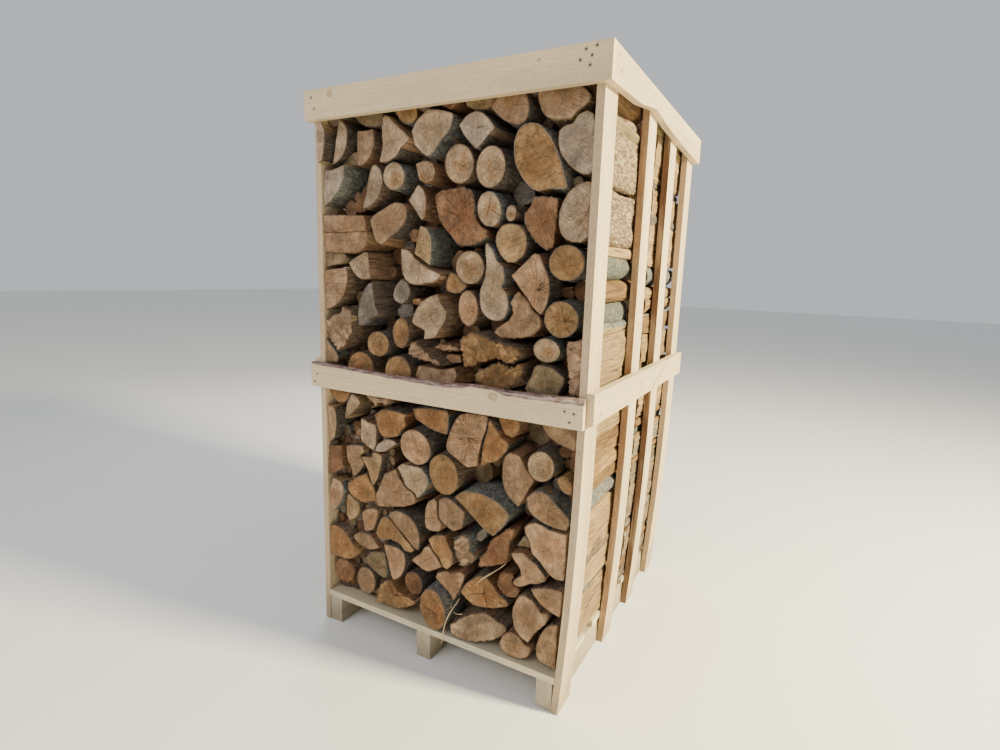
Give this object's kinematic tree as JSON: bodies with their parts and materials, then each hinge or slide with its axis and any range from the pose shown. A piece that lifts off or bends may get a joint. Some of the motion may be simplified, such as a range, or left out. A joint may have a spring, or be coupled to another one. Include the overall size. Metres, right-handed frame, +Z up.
{
  "type": "pallet crate of split firewood",
  "caption": "Tall slatted timber crate on a skid pallet, stacked full with two rows of split firewood whose rough end grain shows between the boards.",
  "frame": {"origin": "centre of the bounding box in plan, at ground level under the skids", "axes": "+X to the right as seen from the front, +Y from the front to the rear along the logs, +Z up"},
  "size_m": [1.16, 1.268, 2.095],
  "materials": {
    "board_wood": "rough sawn",
    "log_wood": "sawn ends and split faces",
    "packed_log_wood": "sawn ends, bark and split faces"
  },
  "bodies": {
    "root": {"deck_board_1": "board_wood", "deck_board_2": "board_wood", "deck_board_3": "board_wood", "deck_board_4": "board_wood", "deck_board_5": "board_wood", "deck_board_6": "board_wood", "deck_board_7": "board_wood", "log_008": "log_wood", "log_015": "log_wood", "log_020": "log_wood", "log_028": "log_wood", "log_030": "log_wood", "log_036": "log_wood", "log_039": "log_wood", "log_041": "log_wood", "log_042": "log_wood", "log_043": "log_wood", "log_051": "log_wood", "log_052": "log_wood", "log_053": "log_wood", "log_054": "log_wood", "log_055": "log_wood", "log_061": "log_wood", "log_062": "log_wood", "log_071": "log_wood", "log_072": "log_wood", "log_078": "log_wood", "log_080": "log_wood", "log_085": "log_wood", "log_089": "log_wood", "log_097": "log_wood", "log_104": "log_wood", "log_105": "log_wood", "log_106": "log_wood", "log_109": "log_wood", "log_112": "log_wood", "log_115": "log_wood", "mid_rail_front": "board_wood", "mid_rail_left": "board_wood", "mid_rail_rear": "board_wood", "mid_rail_right": "board_wood", "packed_logs_front_lower": "packed_log_wood", "packed_logs_front_upper": "packed_log_wood", "packed_logs_rear_lower": "packed_log_wood", "packed_logs_rear_upper": "packed_log_wood", "post_left_front": "board_wood", "post_left_rear": "board_wood", "post_right_front": "board_wood", "post_right_rear": "board_wood", "skid_left": "board_wood", "skid_middle": "board_wood", "skid_right": "board_wood", "slat_left_1": "board_wood", "slat_left_2": "board_wood", "slat_right_1": "board_wood", "slat_right_2": "board_wood", "top_rail_front": "board_wood", "top_rail_left": "board_wood", "top_rail_rear": "board_wood", "top_rail_right": "board_wood"}
  },
  "joints": []
}
